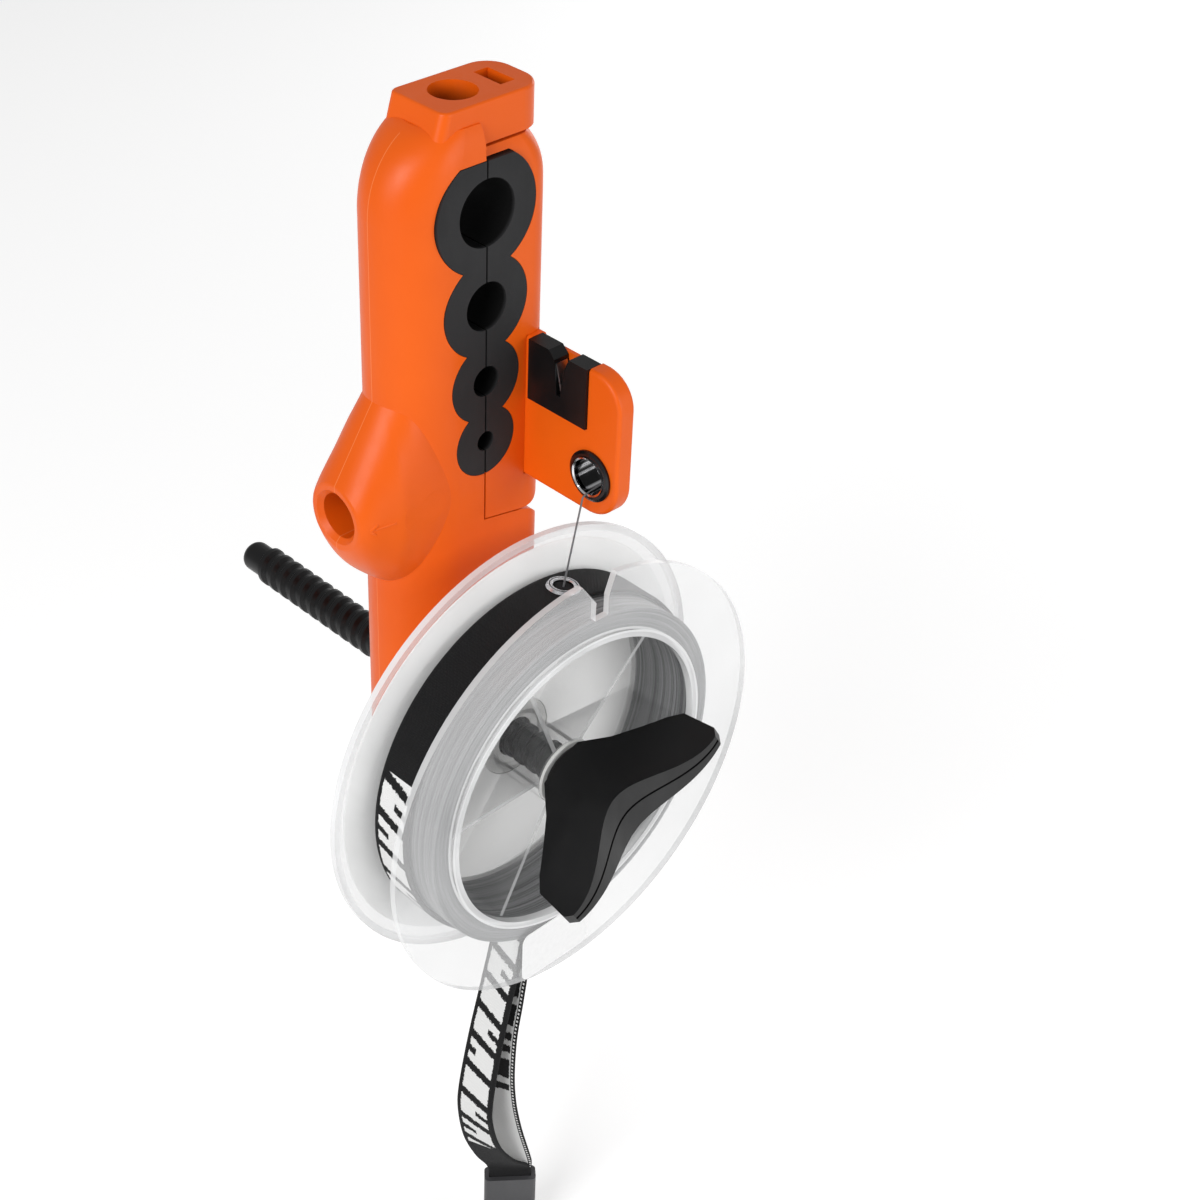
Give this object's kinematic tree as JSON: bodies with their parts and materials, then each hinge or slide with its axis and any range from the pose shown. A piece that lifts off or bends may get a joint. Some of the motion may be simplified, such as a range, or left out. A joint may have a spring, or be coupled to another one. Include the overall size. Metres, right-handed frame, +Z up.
{
  "type": "fishing line winder",
  "caption": "Hand-held clamp that grips a rod blank and carries a line spool on a screw spindle, with a line guide, a line cutter and a wing knob.",
  "frame": {"origin": "centre of the third clamp bore, half way through the clamp", "axes": "+X from the fixed body to the jaw, +Y backwards along the clamped rod and the spindle, +Z up from the spool to the cap"},
  "size_m": [0.1, 0.1301, 0.2888],
  "materials": {
    "orange_plastic": "satin",
    "grey_rubber": "matte",
    "black_plastic": "satin",
    "steel": "satin",
    "bright_steel": "polished",
    "black_ring": "gloss",
    "clear_plastic": "gloss",
    "nylon_line": "satin",
    "white_paper": "matte",
    "elastic_webbing": "woven",
    "nylon_washer": "matte"
  },
  "bodies": {
    "winder_body": {"front_shell": "orange_plastic", "rear_shell": "orange_plastic", "shell_screws": "steel", "left_rubber_pad": "grey_rubber", "spindle_nut": "black_plastic", "side_spindle_nut": "black_plastic", "hinge_pin": "steel", "jaw_spring": "steel", "pressure_plate": "black_plastic", "tension_spring": "steel", "friction_washer": "nylon_washer", "elastic_band": "elastic_webbing", "band_eyelet": "bright_steel", "strap_clip": "black_plastic", "line_lead": "nylon_line"},
    "jaw": {"jaw_front_shell": "orange_plastic", "jaw_rear_shell": "orange_plastic", "jaw_screws": "steel", "right_rubber_pad": "grey_rubber", "guide_arm": "orange_plastic", "cutter_block": "black_plastic", "cutter_blade": "steel", "guide_ring": "black_ring", "ring_liner": "bright_steel"},
    "carrier": {"thrust_washer": "nylon_washer"},
    "spindle": {"threaded_spindle": "black_plastic", "knob_upper_half": "black_plastic", "knob_lower_half": "black_plastic"},
    "spool": {"spool_drum": "clear_plastic", "spool_rear_flange": "clear_plastic", "line_winding": "nylon_line", "spool_label": "white_paper", "flange_sticker": "white_paper"}
  },
  "joints": [
    {"name": "jaw_swing", "type": "hinge", "parent": "winder_body", "child": "jaw", "pos_m": [0.0082, 0, -0.04187], "axis": [0, 1, 0], "range_deg": [0, 20], "stiffness_Nm_per_rad": 0.9, "springref_deg": -40.11, "deforming": ["line_lead"]},
    {"name": "spool_spin", "type": "hinge", "parent": "winder_body", "child": "spool", "pos_m": [0, -0.03, -0.08185], "axis": [0, 1, 0], "continuous": true},
    {"name": "spindle_feed", "type": "slide", "parent": "winder_body", "child": "carrier", "axis": [0, 1, 0], "range_m": [-0.0613, 0]},
    {"name": "spindle_turn", "type": "hinge", "parent": "carrier", "child": "spindle", "pos_m": [0, -0.03, -0.08185], "axis": [0, 1, 0], "range_deg": [-6120, 0]}
  ],
  "couplings": [
    {"joint": "spindle_feed", "follows": "spindle_turn", "m_per_rad": 0.00057296}
  ]
}
